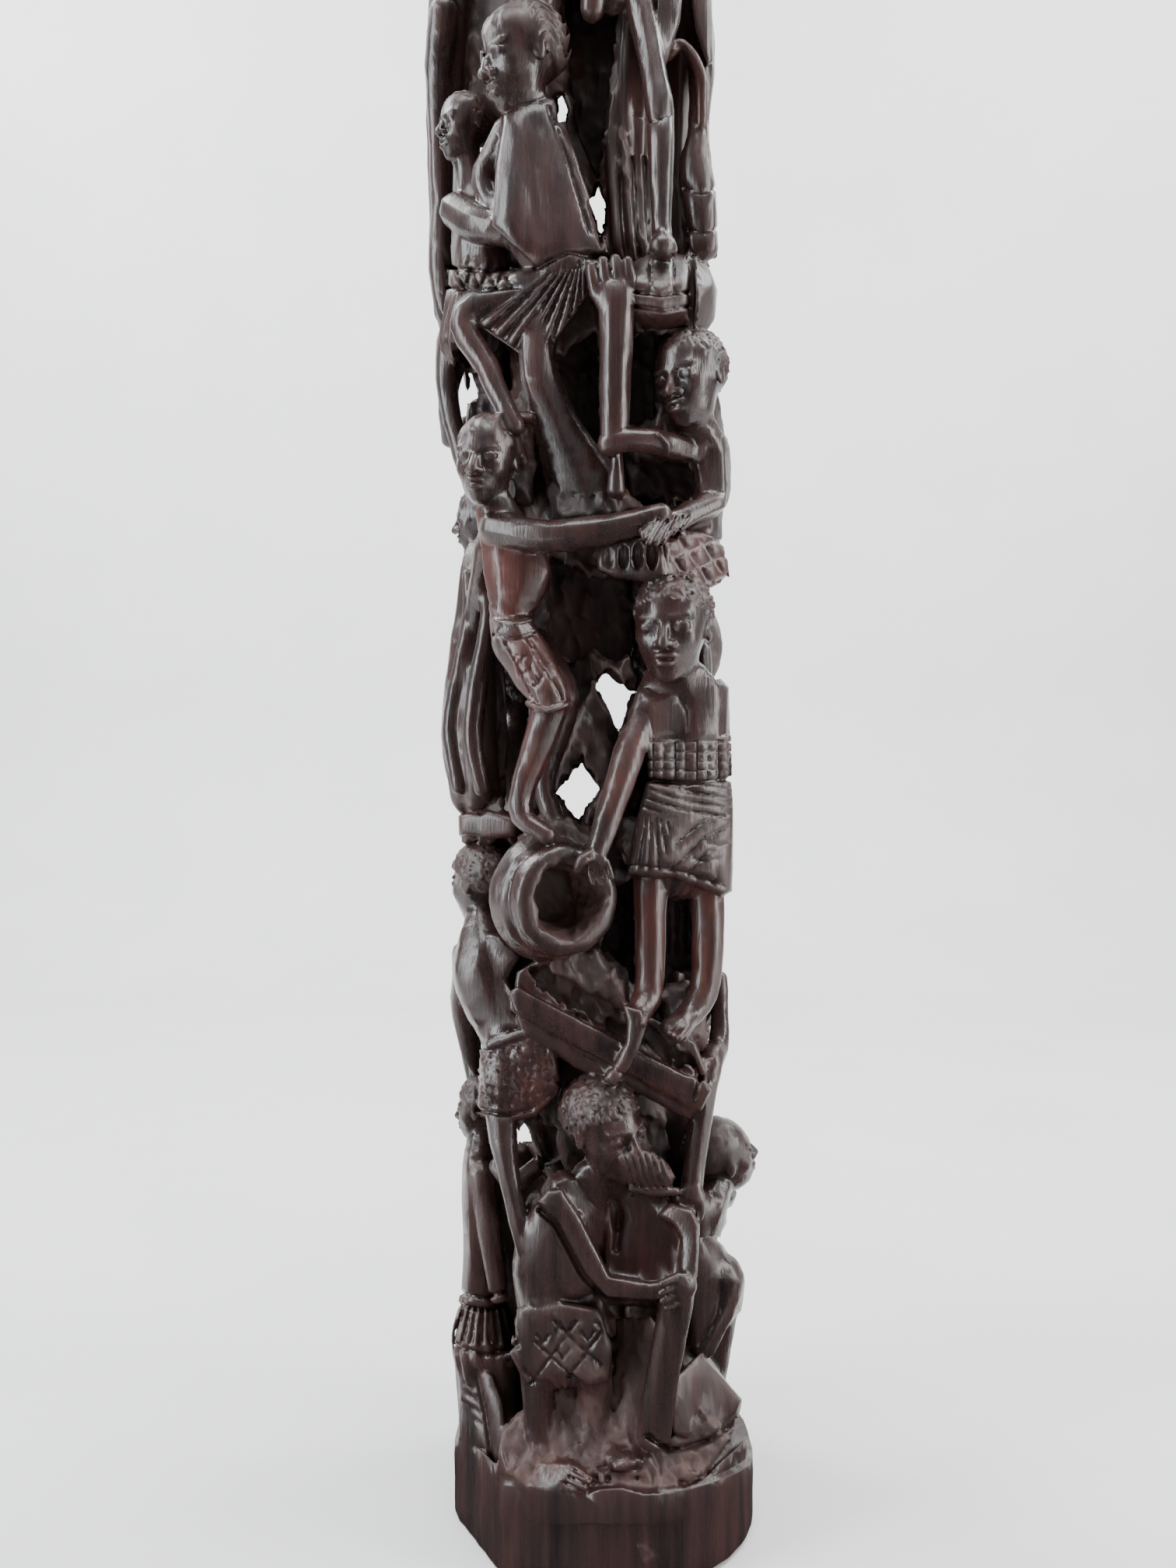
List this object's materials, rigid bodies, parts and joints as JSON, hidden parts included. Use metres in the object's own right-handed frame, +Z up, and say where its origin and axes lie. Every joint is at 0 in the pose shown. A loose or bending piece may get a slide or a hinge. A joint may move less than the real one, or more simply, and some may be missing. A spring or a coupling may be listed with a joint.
{
  "type": "makonde ujamaa carving",
  "caption": "Tall tree-of-life column carved from one dark log: villagers stand and climb on each other around a hollowed core, over a low drum-shaped base.",
  "frame": {"origin": "centre of the flat underside of the base", "axes": "+Z up along the column, -Y towards the front, +X to the viewer's right"},
  "size_m": [0.1491, 0.1449, 0.7999],
  "materials": {
    "blackwood": "polished"
  },
  "bodies": {
    "root": {"carving": "blackwood"}
  },
  "joints": []
}
